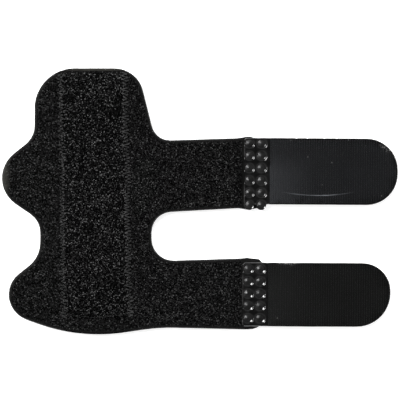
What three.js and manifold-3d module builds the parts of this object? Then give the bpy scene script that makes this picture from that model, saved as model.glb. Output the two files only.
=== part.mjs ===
// A finger splint that lies open and flat with its fleece side up, in millimetres, +Z up.
// The finger tip end is at +Y, the two straps with their hook tabs point to +X,
// and the two side lobes point to -X. The wrap's outline is a ring of corners that are
// joined by straight edges and rounded by arcs.

import * as THREE from "three";
import { ConvexHull } from "three/addons/math/ConvexHull.js";
import { mergeVertices } from "three/addons/utils/BufferGeometryUtils.js";
import Module from "manifold-3d";

const wasm = await Module();
wasm.setup();

// Sizes of the wrap's outline
const waistWidth = 33.6; // from the bottom of the notch to the wall of the slot
const tipWidth = 31; // the finger tip end, between its two corners
const tipLength = 21.8; // from the upper strap's edge to the finger tip end
const upperStrapWidth = 21.8;
const lowerStrapWidth = 20;
const strapLength = 33.4; // from the wall of the slot to the strap's end
const slotWidth = 14.4; // between the two straps
const notchWidth = 10.8; // between the two lobes
const upperLobeReach = 17.9; // past the bottom of the notch
const lowerLobeReach = 9.4;
const bellyDrop = 3.4; // how far the lower edge hangs below the lower strap
const strapSlant = 0.8; // how far the straps rise from the wrap to their welds
const weldBulge = 0.6; // how far the pressed cloth spreads beside the welds

// Sizes through the thickness
const wrapThick = 2.6; // fleece, foam and outer cloth, laminated
const pressedThick = 1.3; // the same laminate under the welds
const wrapEdgeRound = 0.9; // how far in the soft cut edge rounds off
const upperLobeLift = 1.6; // how far the upper lobe curls up off the table
const lowerLobeLift = 0.7;
const clearance = 0.3; // between neighbouring pieces

// Sizes of the sewn sleeve over the hidden stay
const sleeveWidth = 20;
const sleeveTipMargin = 1.4; // cloth left bare between the sleeve and the finger tip end
const sleeveFootMargin = 3; // how far its foot lies inside the lower strap's edge
const sleeveEdgeThick = 0.9; // the strip at its seams
const sleeveCrown = 2.3; // strip and stay at the middle
const sleeveTurn = 1.1; // degrees from the wrap's long direction
const sleeveCornerRound = 3;

// Sizes of the hook tabs
const tabThick = 0.9;
const tabEdgeRound = 0.2;
const tabCornerRound = 0.6;
const upperTabLength = 46.3;
const lowerTabLength = 44.6;
const upperTabWidth = 20;
const lowerTabWidth = 19.2;
const upperTabOverlap = 5.7; // how much of the strap's end the tab covers
const lowerTabOverlap = 6.2;
const tabHump = 0.5; // the tab's rise just past the welds
const tabDroop = 1; // how far its free end comes down again
const tabTurn = -0.35; // degrees, down towards the free end

// Sizes of the weld dots
const weldPitch = 3.7; // from row to row
const weldColumnPitch = 3.6;
const weldMoat = 2.9; // outer diameter of the molten ring
const weldDome = 1.5; // diameter of the dome inside it
const weldDepth = 0.45;
const upperWeldRows = 6;
const lowerWeldRows = 5;
const weldColumns = 2;
const weldSides = 12;

// Lengths of the facets
const arcStep = 1.5;
const lineStep = 4;
const fillStep = 4.6;

// The frame that the outline is drawn in has its origin at the middle of the slot's wall.
const slotTop = slotWidth / 2;
const slotFoot = -slotWidth / 2;
const upperStrapTop = slotTop + upperStrapWidth;
const lowerStrapFoot = slotFoot - lowerStrapWidth;
const tipTop = upperStrapTop + tipLength;
const tipMiddle = -0.588 * waistWidth;
const notchBottom = -waistWidth;
const notchTop = 0.455 * notchWidth;
const notchFoot = notchTop - notchWidth;
const neckLeft = -1.05 * waistWidth;
const upperLobeEnd = notchBottom - upperLobeReach;
const lowerLobeEnd = notchBottom - lowerLobeReach;
const sleeveTop = tipTop - sleeveTipMargin;
const sleeveFoot = lowerStrapFoot + sleeveFootMargin;
const sleeveLength = sleeveTop - sleeveFoot;

const corner = (x, y, round) => ({ x, y, round });

// One edge of a strap's welded end, from the strap to its end. The pressed cloth bulges
// out beside the welds; bulge is positive on an upper edge and negative on a lower one.
function weldedEdge(edge, bulge, overlap, endRound) {
  const tuck = 0.5 * weldBulge * Math.sign(bulge);
  const tabStart = strapLength - overlap;
  return [
    corner(tabStart - 2.5 * weldBulge, edge, 2.5 * weldBulge),
    corner(tabStart + 0.22 * overlap, edge + bulge, 2.5 * weldBulge),
    corner(strapLength, edge - tuck, endRound),
  ];
}

const upperEndRound = 0.06 * upperStrapWidth;
const upperStrapEnd = [
  ...weldedEdge(upperStrapTop + strapSlant, weldBulge, upperTabOverlap, upperEndRound),
  ...weldedEdge(slotTop + 1.8 * strapSlant, -0.9 * weldBulge, upperTabOverlap, upperEndRound)
    .reverse(),
];
const lowerStrapEnd = [
  ...weldedEdge(slotFoot + strapSlant, 0.4 * weldBulge, lowerTabOverlap, 0.06 * lowerStrapWidth),
  ...weldedEdge(lowerStrapFoot - 0.7 * strapSlant, -0.2 * weldBulge, lowerTabOverlap,
    0.16 * lowerStrapWidth).reverse(),
];

// The wrap's corners, clockwise from the finger tip end
const wrapCorners = [
  corner(tipMiddle - tipWidth / 2, tipTop, 0.39 * tipWidth),
  corner(tipMiddle + tipWidth / 2, tipTop, 0.285 * tipWidth),
  corner(0.035 * waistWidth, upperStrapTop, 0.25 * tipLength),
  ...upperStrapEnd,
  corner(0, slotTop, 0.42 * slotWidth),
  corner(0, slotFoot, 0.45 * slotWidth),
  ...lowerStrapEnd,
  corner(0.07 * waistWidth, lowerStrapFoot, 1.8 * strapLength),
  corner(-0.64 * waistWidth, lowerStrapFoot - bellyDrop, 1.6 * strapLength),
  corner(lowerLobeEnd, lowerStrapFoot + 1.25 * bellyDrop, 0.43 * lowerStrapWidth),
  corner(lowerLobeEnd, notchFoot - 0.7 * notchWidth, 0.41 * lowerStrapWidth),
  corner(notchBottom, notchFoot, 0.8 * notchWidth),
  corner(notchBottom, notchTop, 0.6 * notchWidth),
  corner(upperLobeEnd, slotTop + 0.455 * upperStrapWidth, 0.53 * upperLobeReach),
  corner(neckLeft, upperStrapTop + 0.05 * tipLength, 0.32 * tipLength),
];

// A closed ring of points round the corners, counter-clockwise. Where two arcs don't fit
// on the edge between them, both are made smaller.
function roundedRing(corners) {
  const count = corners.length;
  const points = corners.map((c) => new THREE.Vector2(c.x, c.y));
  const before = points.map((p, i) => points[(i + count - 1) % count].clone().sub(p));
  const after = points.map((p, i) => points[(i + 1) % count].clone().sub(p));
  const halfAngles = points.map((p, i) => {
    const cosine = before[i].dot(after[i]) / before[i].length() / after[i].length();
    return Math.acos(THREE.MathUtils.clamp(cosine, -1, 1)) / 2;
  });
  const reach = corners.map((c, i) => c.round / Math.tan(halfAngles[i]));
  const fit = reach.map((r, i) => Math.min(1, after[i].length() / (r + reach[(i + 1) % count])));
  const path = new THREE.Path();
  points.forEach((p, i) => {
    const shrink = Math.min(fit[i], fit[(i + count - 1) % count]);
    const radius = corners[i].round * shrink;
    const start = before[i].clone().setLength(reach[i] * shrink).add(p);
    const end = after[i].clone().setLength(reach[i] * shrink).add(p);
    const inward = before[i].clone().normalize().add(after[i].clone().normalize());
    const centre = inward.setLength(radius / Math.sin(halfAngles[i])).add(p);
    const from = start.clone().sub(centre).angle();
    const to = end.clone().sub(centre).angle();
    const clockwise = before[i].cross(after[i]) > 0;
    if (i === 0) path.moveTo(start.x, start.y);
    else if (path.currentPoint.distanceTo(start) > 0.01) path.lineTo(start.x, start.y);
    path.absarc(centre.x, centre.y, radius, from, to, clockwise);
  });
  path.closePath();
  const all = path.curves.flatMap((curve) => {
    const step = curve.isEllipseCurve ? arcStep : lineStep;
    const pieces = Math.max(1, Math.round(curve.getLength() / step));
    return curve.getSpacedPoints(pieces).slice(0, -1);
  });
  const ring = all.filter((p, i) => p.distanceTo(all[(i + 1) % all.length]) > 0.2 * arcStep);
  return THREE.ShapeUtils.isClockWise(ring) ? ring.reverse() : ring;
}

// The same ring moved inwards, point by point
function insetRing(ring, distance) {
  const count = ring.length;
  return ring.map((p, i) => {
    const along = ring[(i + 1) % count].clone().sub(ring[(i + count - 1) % count]).normalize();
    return new THREE.Vector2(p.x - along.y * distance, p.y + along.x * distance);
  });
}

function isInside(ring, x, y) {
  let inside = false;
  ring.forEach((a, i) => {
    const b = ring[(i + ring.length - 1) % ring.length];
    const crosses = a.y > y !== b.y > y;
    if (crosses && x < a.x + ((y - a.y) / (b.y - a.y)) * (b.x - a.x)) inside = !inside;
  });
  return inside;
}

// Fills a ring with even triangles. The points are lifted onto a bowl, whose hull seen
// from below joins each point to its nearest ones. Small shifts keep any four of them from
// lying on one circle, and none comes into the round that has an edge of the ring as its
// diameter, so the ring's edges are kept. The ring's points keep their numbers.
function fillRing(ring, spacing, extraPoints) {
  const inner = [...extraPoints];
  const box = new THREE.Box2().setFromPoints(ring);
  const rowStep = spacing * Math.sin(Math.PI / 3);
  const rows = Math.ceil((box.max.y - box.min.y) / rowStep);
  const columns = Math.ceil((box.max.x - box.min.x) / spacing);
  for (let row = 0; row <= rows; row++) {
    for (let column = 0; column <= columns; column++) {
      const x = box.min.x + (column + (row % 2) / 2) * spacing;
      inner.push(new THREE.Vector2(x, box.min.y + row * rowStep));
    }
  }
  const points = [...ring];
  const edges = ring.map((a, i) => {
    const b = ring[(i + 1) % ring.length];
    return { middle: a.clone().add(b).divideScalar(2), clear: 0.6 * a.distanceTo(b) };
  });
  inner.forEach((p, i) => {
    const near = points.some((q) => q.distanceTo(p) < 0.4 * spacing);
    const crowding = edges.some((edge) => edge.middle.distanceTo(p) < edge.clear);
    if (near || crowding || !isInside(ring, p.x, p.y)) return;
    const shift = new THREE.Vector2(Math.sin(7 * i), Math.cos(5 * i));
    points.push(shift.multiplyScalar(0.02 * spacing).add(p));
  });
  const bowl = points.map((p) => new THREE.Vector3(p.x, p.y, p.x * p.x + p.y * p.y));
  const numberOf = new Map(bowl.map((p, i) => [p, i]));
  const triangles = [];
  new ConvexHull().setFromPoints(bowl).faces.forEach((face) => {
    if (face.normal.z > -1e-9) return;
    const ends = [face.edge, face.edge.next, face.edge.prev].map((edge) => edge.vertex.point);
    const middle = ends[0].clone().add(ends[1]).add(ends[2]).divideScalar(3);
    const [a, b, c] = ends.map((p) => numberOf.get(p));
    if (isInside(ring, middle.x, middle.y)) triangles.push([a, c, b]);
  });
  return { points, triangles };
}

// A closed sheet inside a ring: flat triangles below and above, and a rounded edge of
// rings between them. floorAt and thickAt give its underside and thickness at a place.
function sheetGeometry(ring, edgeRound, edgeRings, spacing, extraPoints, floorAt, thickAt) {
  const vertices = [];
  const faces = [];
  const raise = (p, share) => {
    vertices.push(p.x, p.y, floorAt(p.x, p.y) + share * thickAt(p.x, p.y));
  };
  const count = ring.length;
  const innerRing = insetRing(ring, edgeRound);
  const fill = fillRing(innerRing, spacing, extraPoints);
  fill.points.forEach((p) => raise(p, 0));
  fill.triangles.forEach(([a, b, c]) => faces.push(a, c, b));
  let lower = 0;
  for (let k = 1; k < edgeRings; k++) {
    const angle = Math.PI * (k / edgeRings - 0.5);
    const upper = vertices.length / 3;
    const level = insetRing(ring, edgeRound * (1 - Math.cos(angle)));
    level.forEach((p) => raise(p, (1 + Math.sin(angle)) / 2));
    joinRings(faces, lower, upper, count);
    lower = upper;
  }
  const top = vertices.length / 3;
  fill.points.forEach((p) => raise(p, 1));
  joinRings(faces, lower, top, count);
  fill.triangles.forEach(([a, b, c]) => faces.push(top + a, top + b, top + c));
  const geometry = new THREE.BufferGeometry();
  geometry.setAttribute("position", new THREE.Float32BufferAttribute(vertices, 3));
  geometry.setIndex(faces);
  return geometry;
}

function joinRings(faces, lower, upper, count) {
  for (let i = 0; i < count; i++) {
    const next = (i + 1) % count;
    faces.push(lower + i, lower + next, upper + next);
    faces.push(lower + i, upper + next, upper + i);
  }
}

function toSolid(geometry) {
  const bare = new THREE.BufferGeometry();
  bare.setAttribute("position", geometry.getAttribute("position").clone());
  if (geometry.index) bare.setIndex(geometry.index.clone());
  const merged = mergeVertices(bare, 1e-5);
  return new wasm.Manifold(new wasm.Mesh({
    numProp: 3,
    vertProperties: new Float32Array(merged.getAttribute("position").array),
    triVerts: new Uint32Array(merged.index.array),
  }));
}

function toGeometry(solid) {
  const mesh = solid.getMesh();
  const geometry = new THREE.BufferGeometry();
  const places = new THREE.BufferAttribute(new Float32Array(mesh.vertProperties), 3);
  geometry.setAttribute("position", places);
  geometry.setIndex(new THREE.BufferAttribute(new Uint32Array(mesh.triVerts), 1));
  return geometry;
}

function makePiece(name, geometry, finish) {
  const shaded = geometry.index ? geometry.toNonIndexed() : geometry;
  shaded.computeVertexNormals();
  const mesh = new THREE.Mesh(shaded, new THREE.MeshStandardMaterial(finish));
  mesh.name = name;
  return mesh;
}

const { smoothstep, degToRad } = THREE.MathUtils;

// The lobes curl up towards their ends, the upper one more than the lower one.
function lobeLift(x, y) {
  const upper = y > (notchTop + notchFoot) / 2;
  const reach = upper ? upperLobeReach : lowerLobeReach;
  const past = Math.max(0, notchBottom - x) / reach;
  return (upper ? upperLobeLift : lowerLobeLift) * past * past;
}

// The laminate is pressed thin where the tabs are welded on. The share runs from 0, where
// the pressing starts, to 1, just before the tab.
function pressedAt(share, overlap) {
  return strapLength - overlap - clearance - (1 - share) * 1.1 * wrapThick;
}

function wrapThickAt(x, y) {
  const overlap = y > 0 ? upperTabOverlap : lowerTabOverlap;
  const pressed = smoothstep(x, pressedAt(0, overlap), pressedAt(1, overlap));
  return THREE.MathUtils.lerp(wrapThick, pressedThick, pressed);
}

// Points across a strap where the pressing starts, runs and ends
function pressPoints(foot, width, overlap) {
  const points = [];
  for (const share of [0, 0.35, 0.65, 1]) {
    for (const up of [0.1, 0.23, 0.36, 0.5, 0.64, 0.77, 0.9]) {
      points.push(new THREE.Vector2(pressedAt(share, overlap), foot + up * width));
    }
  }
  return points;
}

function bodyPanel() {
  const ring = roundedRing(wrapCorners);
  const extraPoints = [
    ...pressPoints(slotTop + strapSlant, upperStrapWidth, upperTabOverlap),
    ...pressPoints(lowerStrapFoot, lowerStrapWidth, lowerTabOverlap),
  ];
  const geometry = sheetGeometry(
    ring, wrapEdgeRound, 5, fillStep, extraPoints, lobeLift, wrapThickAt,
  );
  const finish = { color: 0x1d1d1f, roughness: 0.95, metalness: 0 };
  return makePiece("body_panel", geometry, finish);
}

// The strip is sewn down along both sides and domes over the stay between them.
function staySleeve() {
  const halfWidth = sleeveWidth / 2;
  const halfLength = sleeveLength / 2;
  const corners = [[-1, -1], [1, -1], [1, 1], [-1, 1]].map(([across, along]) =>
    corner(across * halfWidth, along * halfLength, sleeveCornerRound));
  const crownAt = (x, y) => {
    const across = 1 - Math.abs(x / halfWidth) ** 3;
    const along = 1 - Math.abs(y / halfLength) ** 16;
    return THREE.MathUtils.lerp(sleeveEdgeThick, sleeveCrown, Math.max(0, across * along));
  };
  const geometry = sheetGeometry(
    roundedRing(corners), 0.6 * sleeveEdgeThick, 3, 0.8 * fillStep, [], () => 0, crownAt,
  );
  const finish = { color: 0x1f1f20, roughness: 0.9, metalness: 0 };
  const mesh = makePiece("stay_sleeve", geometry, finish);
  mesh.position.x = tipMiddle + 0.08 * tipWidth;
  mesh.position.y = (sleeveTop + sleeveFoot) / 2;
  mesh.position.z = wrapThick + clearance;
  mesh.rotation.z = degToRad(sleeveTurn);
  return mesh;
}

// The tab lies level over the welds, rises a little past them and droops to its round end.
function tabFloor(x, length, overlap) {
  const along = Math.max(0, (x - overlap) / (length - overlap));
  const hump = 6.75 * along * (1 - along) ** 2;
  return tabHump * hump - tabDroop * along * along;
}

// The cutter of one weld dot: a ring-shaped moat round a low dome
function weldCutter(x, y) {
  const surface = tabThick;
  const floor = surface - weldDepth;
  const above = surface + clearance;
  const profile = [
    [0, surface - 0.3 * weldDepth],
    [0.5 * weldDome, floor],
    [0.4 * weldMoat, floor],
    [0.5 * weldMoat, surface],
    [0.5 * weldMoat, above],
    [0, above],
  ].map(([radius, height]) => new THREE.Vector2(radius, height));
  const geometry = new THREE.LatheGeometry(profile, weldSides);
  geometry.rotateX(Math.PI / 2);
  geometry.translate(x, y, 0);
  return toSolid(geometry);
}

// The two tabs. Their rounds are shares of their width, and the first weld's place is in
// shares of the pitches, from the tab's upper left corner.
const hookTabs = [
  {
    name: "upper_hook_tab",
    length: upperTabLength,
    width: upperTabWidth,
    overlap: upperTabOverlap,
    middle: slotTop + 0.58 * upperStrapWidth,
    upperRound: 0.47,
    lowerRound: 0.47,
    weldRows: upperWeldRows,
    firstRow: 0.45,
    firstColumn: 0.45,
  },
  {
    name: "lower_hook_tab",
    length: lowerTabLength,
    width: lowerTabWidth,
    overlap: lowerTabOverlap,
    middle: slotFoot - 0.498 * lowerStrapWidth,
    upperRound: 0.44,
    lowerRound: 0.53,
    weldRows: lowerWeldRows,
    firstRow: 0.53,
    firstColumn: 0.57,
  },
];

function hookTab(tab) {
  const half = tab.width / 2;
  const corners = [
    corner(0, -half, tabCornerRound),
    corner(tab.length, -half, tab.lowerRound * tab.width),
    corner(tab.length, half, tab.upperRound * tab.width),
    corner(0, half, tabCornerRound),
  ];
  const foldLine = [-0.8, -0.4, 0, 0.4, 0.8].map((share) =>
    new THREE.Vector2(tab.overlap, share * half));
  const floorAt = (x) => tabFloor(x, tab.length, tab.overlap);
  let solid = toSolid(sheetGeometry(
    roundedRing(corners), tabEdgeRound, 2, fillStep, foldLine, floorAt, () => tabThick,
  ));
  for (let column = 0; column < weldColumns; column++) {
    for (let row = 0; row < tab.weldRows; row++) {
      const x = (tab.firstColumn + column) * weldColumnPitch;
      solid = solid.subtract(weldCutter(x, half - (tab.firstRow + row) * weldPitch));
    }
  }
  const finish = { color: 0x26272a, roughness: 0.55, metalness: 0 };
  const mesh = makePiece(tab.name, toGeometry(solid), finish);
  mesh.position.set(strapLength - tab.overlap, tab.middle, pressedThick + clearance);
  mesh.rotation.z = degToRad(tabTurn);
  return mesh;
}

// The part's origin is the middle of its box, on the table.
const splint = new THREE.Group();
splint.add(bodyPanel(), staySleeve(), ...hookTabs.map(hookTab));
splint.updateMatrixWorld(true);
const extent = new THREE.Box3().setFromObject(splint, true);
const middle = extent.getCenter(new THREE.Vector3());
splint.position.set(-middle.x, -middle.y, -extent.min.z);
splint.updateMatrixWorld(true);

export default splint;
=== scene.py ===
import math

import bpy
from mathutils import Matrix, Vector
from mathutils.bvhtree import BVHTree
from mathutils.kdtree import KDTree


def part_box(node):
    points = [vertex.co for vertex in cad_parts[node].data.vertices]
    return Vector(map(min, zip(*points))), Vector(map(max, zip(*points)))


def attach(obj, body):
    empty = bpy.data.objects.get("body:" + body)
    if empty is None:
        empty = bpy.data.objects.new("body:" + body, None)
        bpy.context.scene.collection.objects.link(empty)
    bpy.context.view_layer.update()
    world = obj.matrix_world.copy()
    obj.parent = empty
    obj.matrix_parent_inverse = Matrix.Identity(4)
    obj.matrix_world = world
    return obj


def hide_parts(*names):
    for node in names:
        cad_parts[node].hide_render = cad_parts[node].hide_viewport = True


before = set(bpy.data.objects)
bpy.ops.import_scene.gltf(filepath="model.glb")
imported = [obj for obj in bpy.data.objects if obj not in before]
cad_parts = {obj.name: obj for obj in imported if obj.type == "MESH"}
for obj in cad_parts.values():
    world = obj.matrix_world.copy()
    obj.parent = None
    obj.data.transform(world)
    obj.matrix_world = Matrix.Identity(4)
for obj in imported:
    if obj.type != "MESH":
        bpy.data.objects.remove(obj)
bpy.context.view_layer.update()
mm = 0.001


# Small helpers

def deselectAll():
    bpy.ops.object.select_all(action="DESELECT")


def makeActive(piece):
    deselectAll()
    piece.select_set(True)
    bpy.context.view_layer.objects.active = piece


def newest(name):  # names the primitive that was just added
    piece = bpy.context.active_object
    piece.name = piece.data.name = name
    return piece


def copyOf(source, name):  # a loose piece with its own mesh
    piece = bpy.data.objects.new(name, source.data.copy())
    piece.data.name = name
    piece.data.materials.clear()
    bpy.context.collection.objects.link(piece)
    return piece


def copyNode(node, name):  # a CAD node is loose triangles, so its copy is merged
    piece = copyOf(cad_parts[node], name)
    makeActive(piece)
    bpy.ops.object.mode_set(mode="EDIT")
    bpy.ops.mesh.select_all(action="SELECT")
    bpy.ops.mesh.remove_doubles(threshold=0.002 * mm)
    bpy.ops.object.mode_set(mode="OBJECT")
    return piece


def applyModifiers(piece):
    makeActive(piece)
    for modifier in list(piece.modifiers):
        bpy.ops.object.modifier_apply(modifier=modifier.name)


def joinInto(piece, others):
    makeActive(piece)
    for other in others:
        other.select_set(True)
    bpy.ops.object.join()


def settle(piece):  # puts the object at the origin, with its place in its mesh
    makeActive(piece)
    bpy.ops.object.transform_apply(location=True, rotation=True, scale=True)


def selectFaces(piece, wanted):  # in edit mode afterwards, with only the wanted faces selected
    makeActive(piece)
    bpy.ops.object.mode_set(mode="EDIT")
    bpy.ops.mesh.select_mode(type="FACE")
    bpy.ops.mesh.select_all(action="DESELECT")
    bpy.ops.object.mode_set(mode="OBJECT")
    for face in piece.data.polygons:
        face.select = wanted(face)
    bpy.ops.object.mode_set(mode="EDIT")


def voxelRemesh(piece, voxel):
    makeActive(piece)
    piece.data.remesh_voxel_size = voxel
    piece.data.remesh_voxel_adaptivity = 0
    bpy.ops.object.voxel_remesh()


def smoothShade(piece):
    makeActive(piece)
    bpy.ops.object.shade_smooth()


def markPoints(piece, name, valueAt):  # a value from 0 to 1 at every point, as attribute and as vertex group
    values = [valueAt(point) for point in piece.data.vertices]
    layer = piece.data.attributes.new(name, "FLOAT", "POINT")
    layer.data.foreach_set("value", values)
    group = piece.vertex_groups.new(name=name)
    for level in range(1, 11):  # ten steps are enough for a smooth edge
        members = [i for i, value in enumerate(values) if round(10 * value) == level]
        if members:
            group.add(members, level / 10, "REPLACE")


def bump(piece, texture, strength, group="", direction="NORMAL"):
    push = piece.modifiers.new(texture.name, "DISPLACE")
    push.texture = texture
    push.strength = strength
    push.mid_level = 0.5
    push.direction = direction
    push.vertex_group = group


def clouds(name, size, depth=1):
    texture = bpy.data.textures.new(name, "CLOUDS")
    texture.noise_scale = size
    texture.noise_depth = depth
    return texture


def soften(piece, rounds):
    smooth = piece.modifiers.new("soften", "SMOOTH")
    smooth.factor, smooth.iterations = 0.5, rounds
    applyModifiers(piece)


def surfaceOf(pieces):  # one tree of all their faces, for casting rays
    points, faces = [], []
    for piece in pieces:
        faces += [tuple(i + len(points) for i in face.vertices) for face in piece.data.polygons]
        points += [point.co for point in piece.data.vertices]
    return BVHTree.FromPolygons(points, faces)


def smoothStep(value, low, high):
    share = min(1, max(0, (value - low) / (high - low)))
    return share * share * (3 - 2 * share)


# Shader helpers

def addNode(tree, kind, sockets=None, **settings):
    node = tree.nodes.new(kind)
    for name, value in settings.items():
        setattr(node, name, value)
    for name, value in (sockets or {}).items():
        if isinstance(value, bpy.types.NodeSocket):
            tree.links.new(value, node.inputs[name])
        else:
            node.inputs[name].default_value = value
    return node


def maths(tree, operation, first, second=0.5):
    node = addNode(tree, "ShaderNodeMath", {0: first, 1: second}, operation=operation)
    return node.outputs[0]


def rangeOf(tree, value, low, high, newLow=0.0, newHigh=1.0):
    sockets = {"Value": value, "From Min": low, "From Max": high, "To Min": newLow, "To Max": newHigh}
    return addNode(tree, "ShaderNodeMapRange", sockets).outputs["Result"]


def between(tree, value, ends, results=(0.0, 1.0)):  # the same, with the two ends as one value
    return rangeOf(tree, value, *ends, *results)


def noise(tree, place, scale, detail=2.0):
    sockets = {"Vector": place, "Scale": scale, "Detail": detail}
    return addNode(tree, "ShaderNodeTexNoise", sockets).outputs["Fac"]


def patches(tree, place, scale, fade, share=(0.0, 1.0)):  # noise with its middle tones stretched
    return between(tree, noise(tree, place, scale), fade, share)


def marked(tree, name):  # what markPoints, or a tone for each copy, has left on the mesh
    return addNode(tree, "ShaderNodeAttribute", attribute_name=name).outputs["Fac"]


def axes(tree, place):
    return addNode(tree, "ShaderNodeSeparateXYZ", {"Vector": place}).outputs


def mixColours(tree, share, first, second):
    sockets = {0: share, 6: first, 7: second}
    return addNode(tree, "ShaderNodeMix", sockets, data_type="RGBA").outputs[2]


def grey(value, green=1.0, blue=1.0):
    return (value, value * green, value * blue, 1)


def newGroup(name, inputs, outputs, kind="ShaderNodeTree"):
    tree = bpy.data.node_groups.new(name, kind)
    for direction, sockets in (("INPUT", inputs), ("OUTPUT", outputs)):
        for socket, holds in sockets.items():
            tree.interface.new_socket(socket, in_out=direction, socket_type=holds)
    return tree, tree.nodes.new("NodeGroupInput").outputs, tree.nodes.new("NodeGroupOutput")


def useGroup(tree, group, sockets):
    return addNode(tree, "ShaderNodeGroup", sockets, node_tree=group).outputs


def newMaterial(name, fixed):  # fixed values go on the shader's own sockets
    material = bpy.data.materials.new(name)
    material.use_nodes = True
    tree = material.node_tree
    shader = tree.nodes["Principled BSDF"]
    for socket, value in fixed.items():
        shader.inputs[socket].default_value = value
    place = tree.nodes.new("ShaderNodeTexCoord").outputs["Object"]
    return material, tree, shader, place


# Shared effects

floatSocket = "NodeSocketFloat"
colourSocket = "NodeSocketColor"
vectorSocket = "NodeSocketVector"

speckleLooks = {
    "strandFade": (0.4, 0.72), "strandPower": 2.0, "loopFade": (0.6, 0.25),
    "mottleFade": (0.3, 0.7), "mottleShare": (0.75, 1.25),
}


def pileSpeckleGroup():  # the loops of a napped cloth, most of them dark, with a few painted pale as glints where they catch the light
    inputs = {"Place": vectorSocket, "Loops": floatSocket, "Mottle": floatSocket,
              "Dark": colourSocket, "Light": colourSocket, "Spark": floatSocket, "Strands": floatSocket}
    outputs = {"Colour": colourSocket, "Height": floatSocket}
    tree, given, out = newGroup("pileSpeckle", inputs, outputs)
    looks = speckleLooks
    strands = addNode(tree, "ShaderNodeTexNoise",
                      {"Vector": given["Place"], "Scale": given["Loops"], "Detail": 2.0, "Roughness": 0.6})
    loops = addNode(tree, "ShaderNodeTexVoronoi", {"Vector": given["Place"], "Scale": given["Loops"]})
    mottle = noise(tree, given["Place"], given["Mottle"], 3.0)
    strandShare = maths(tree, "POWER", between(tree, strands.outputs["Fac"], looks["strandFade"]),
                        looks["strandPower"])
    mottleShare = between(tree, mottle, looks["mottleFade"], looks["mottleShare"])
    chance = addNode(tree, "ShaderNodeSeparateColor", {"Color": loops.outputs["Color"]}).outputs["Red"]
    nearLoop = between(tree, loops.outputs["Distance"], looks["loopFade"])
    # the few pale loops: painted glints
    bright = maths(tree, "MULTIPLY", maths(tree, "POWER", chance, given["Spark"]), nearLoop)
    share = maths(tree, "ADD", maths(tree, "MULTIPLY", strandShare, given["Strands"]), bright)
    share = maths(tree, "MULTIPLY", share, mottleShare)
    tree.links.new(mixColours(tree, share, given["Dark"], given["Light"]), out.inputs["Colour"])
    height = maths(tree, "ADD", strands.outputs["Fac"], maths(tree, "MULTIPLY", nearLoop, chance))
    tree.links.new(height, out.inputs["Height"])
    return tree


dustLooks = {"chosen": (0.93, 0.97), "near": (0.16, 0.05), "tone": 0.3}


def dustGroup():  # sparse pale lint that lies on any cloth or tape
    inputs = {"Place": vectorSocket, "Colour": colourSocket, "Size": floatSocket, "Amount": floatSocket}
    outputs = {"Colour": colourSocket}
    tree, given, out = newGroup("dust", inputs, outputs)
    specks = addNode(tree, "ShaderNodeTexVoronoi", {"Vector": given["Place"], "Scale": given["Size"]})
    chance = addNode(tree, "ShaderNodeSeparateColor", {"Color": specks.outputs["Color"]}).outputs["Green"]
    chosen = between(tree, chance, dustLooks["chosen"])
    near = between(tree, specks.outputs["Distance"], dustLooks["near"])
    share = maths(tree, "MULTIPLY", maths(tree, "MULTIPLY", chosen, near), given["Amount"])
    tree.links.new(mixColours(tree, share, given["Colour"], grey(dustLooks["tone"])), out.inputs["Colour"])
    return tree


pileSpeckle = pileSpeckleGroup()
dust = dustGroup()


def finishColour(tree, shader, place, colour, lint):  # lint is its size, as a scale, and its amount
    size, amount = lint
    dusted = useGroup(tree, dust, {"Place": place, "Colour": colour, "Size": size, "Amount": amount})
    tree.links.new(dusted["Colour"], shader.inputs["Base Color"])


def addBump(tree, shader, height, relief):  # relief is the bump's strength and its distance
    strength, distance = relief
    node = addNode(tree, "ShaderNodeBump", {"Height": height, "Strength": strength, "Distance": distance})
    tree.links.new(node.outputs["Normal"], shader.inputs["Normal"])


def speckled(tree, place, looks):
    return useGroup(tree, pileSpeckle, {
        "Place": place, "Loops": looks["loops"], "Mottle": looks["mottle"], "Dark": grey(looks["dark"]),
        "Light": grey(looks["light"]), "Spark": looks["spark"], "Strands": looks["strands"]})


# Materials

# light is the colour of the painted glints; the sleeve's are brighter, a stronger painted highlight where it rises
# over the stay
fleeceLooks = {
    "wrap": {"loops": 2400, "mottle": 420, "dark": 0.0004, "light": 0.06, "spark": 4.5, "strands": 0.26},
    "sleeve": {"loops": 2450, "mottle": 420, "dark": 0.0004, "light": 0.13, "spark": 6.0, "strands": 0.05},
    "rim": 0.005, "pileFade": (0.0, 0.4), "lint": (900, 0.12), "relief": (0.7, 0.25 * mm),
}
# a painted highlight on the cut edge at the upper lobe, and a paler colour at the tip end
paleRim = {
    "lobe": -58.3 * mm, "lobeFoot": 1.5 * mm, "tip": 39.0 * mm, "fade": 1.6 * mm, "tipFade": 0.48 * mm,
    "tone": (0.03, 0.97, 0.86), "share": 0.85,
    "streaks": 350.0, "streakFade": (0.3, 0.65), "streakShare": (0.35, 1.0),
}


def paleRimGroup():  # the cut edge painted paler: a painted highlight at the upper lobe, where the edge curls up to the light, and paler at the finger tip end
    tree, given, out = newGroup("paleRim", {"Place": vectorSocket}, {"Mask": floatSocket})
    looks, parts = paleRim, axes(tree, given["Place"])
    atLobe = rangeOf(tree, parts["X"], looks["lobe"] + looks["fade"], looks["lobe"])
    aboveNotch = rangeOf(tree, parts["Y"], looks["lobeFoot"], looks["lobeFoot"] + 2 * looks["fade"])
    atTip = rangeOf(tree, parts["Y"], looks["tip"], looks["tip"] + looks["tipFade"])
    mask = maths(tree, "MAXIMUM", maths(tree, "MULTIPLY", atLobe, aboveNotch), atTip)
    patchy = patches(tree, given["Place"], looks["streaks"], looks["streakFade"], looks["streakShare"])
    tree.links.new(maths(tree, "MULTIPLY", mask, patchy), out.inputs["Mask"])
    return tree


paleRimMark = paleRimGroup()


# mixes in the painted rim highlight
def rimmed(tree, place, colour):
    mask = useGroup(tree, paleRimMark, {"Place": place})["Mask"]
    return mixColours(tree, maths(tree, "MULTIPLY", mask, paleRim["share"]), colour, grey(*paleRim["tone"]))


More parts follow.
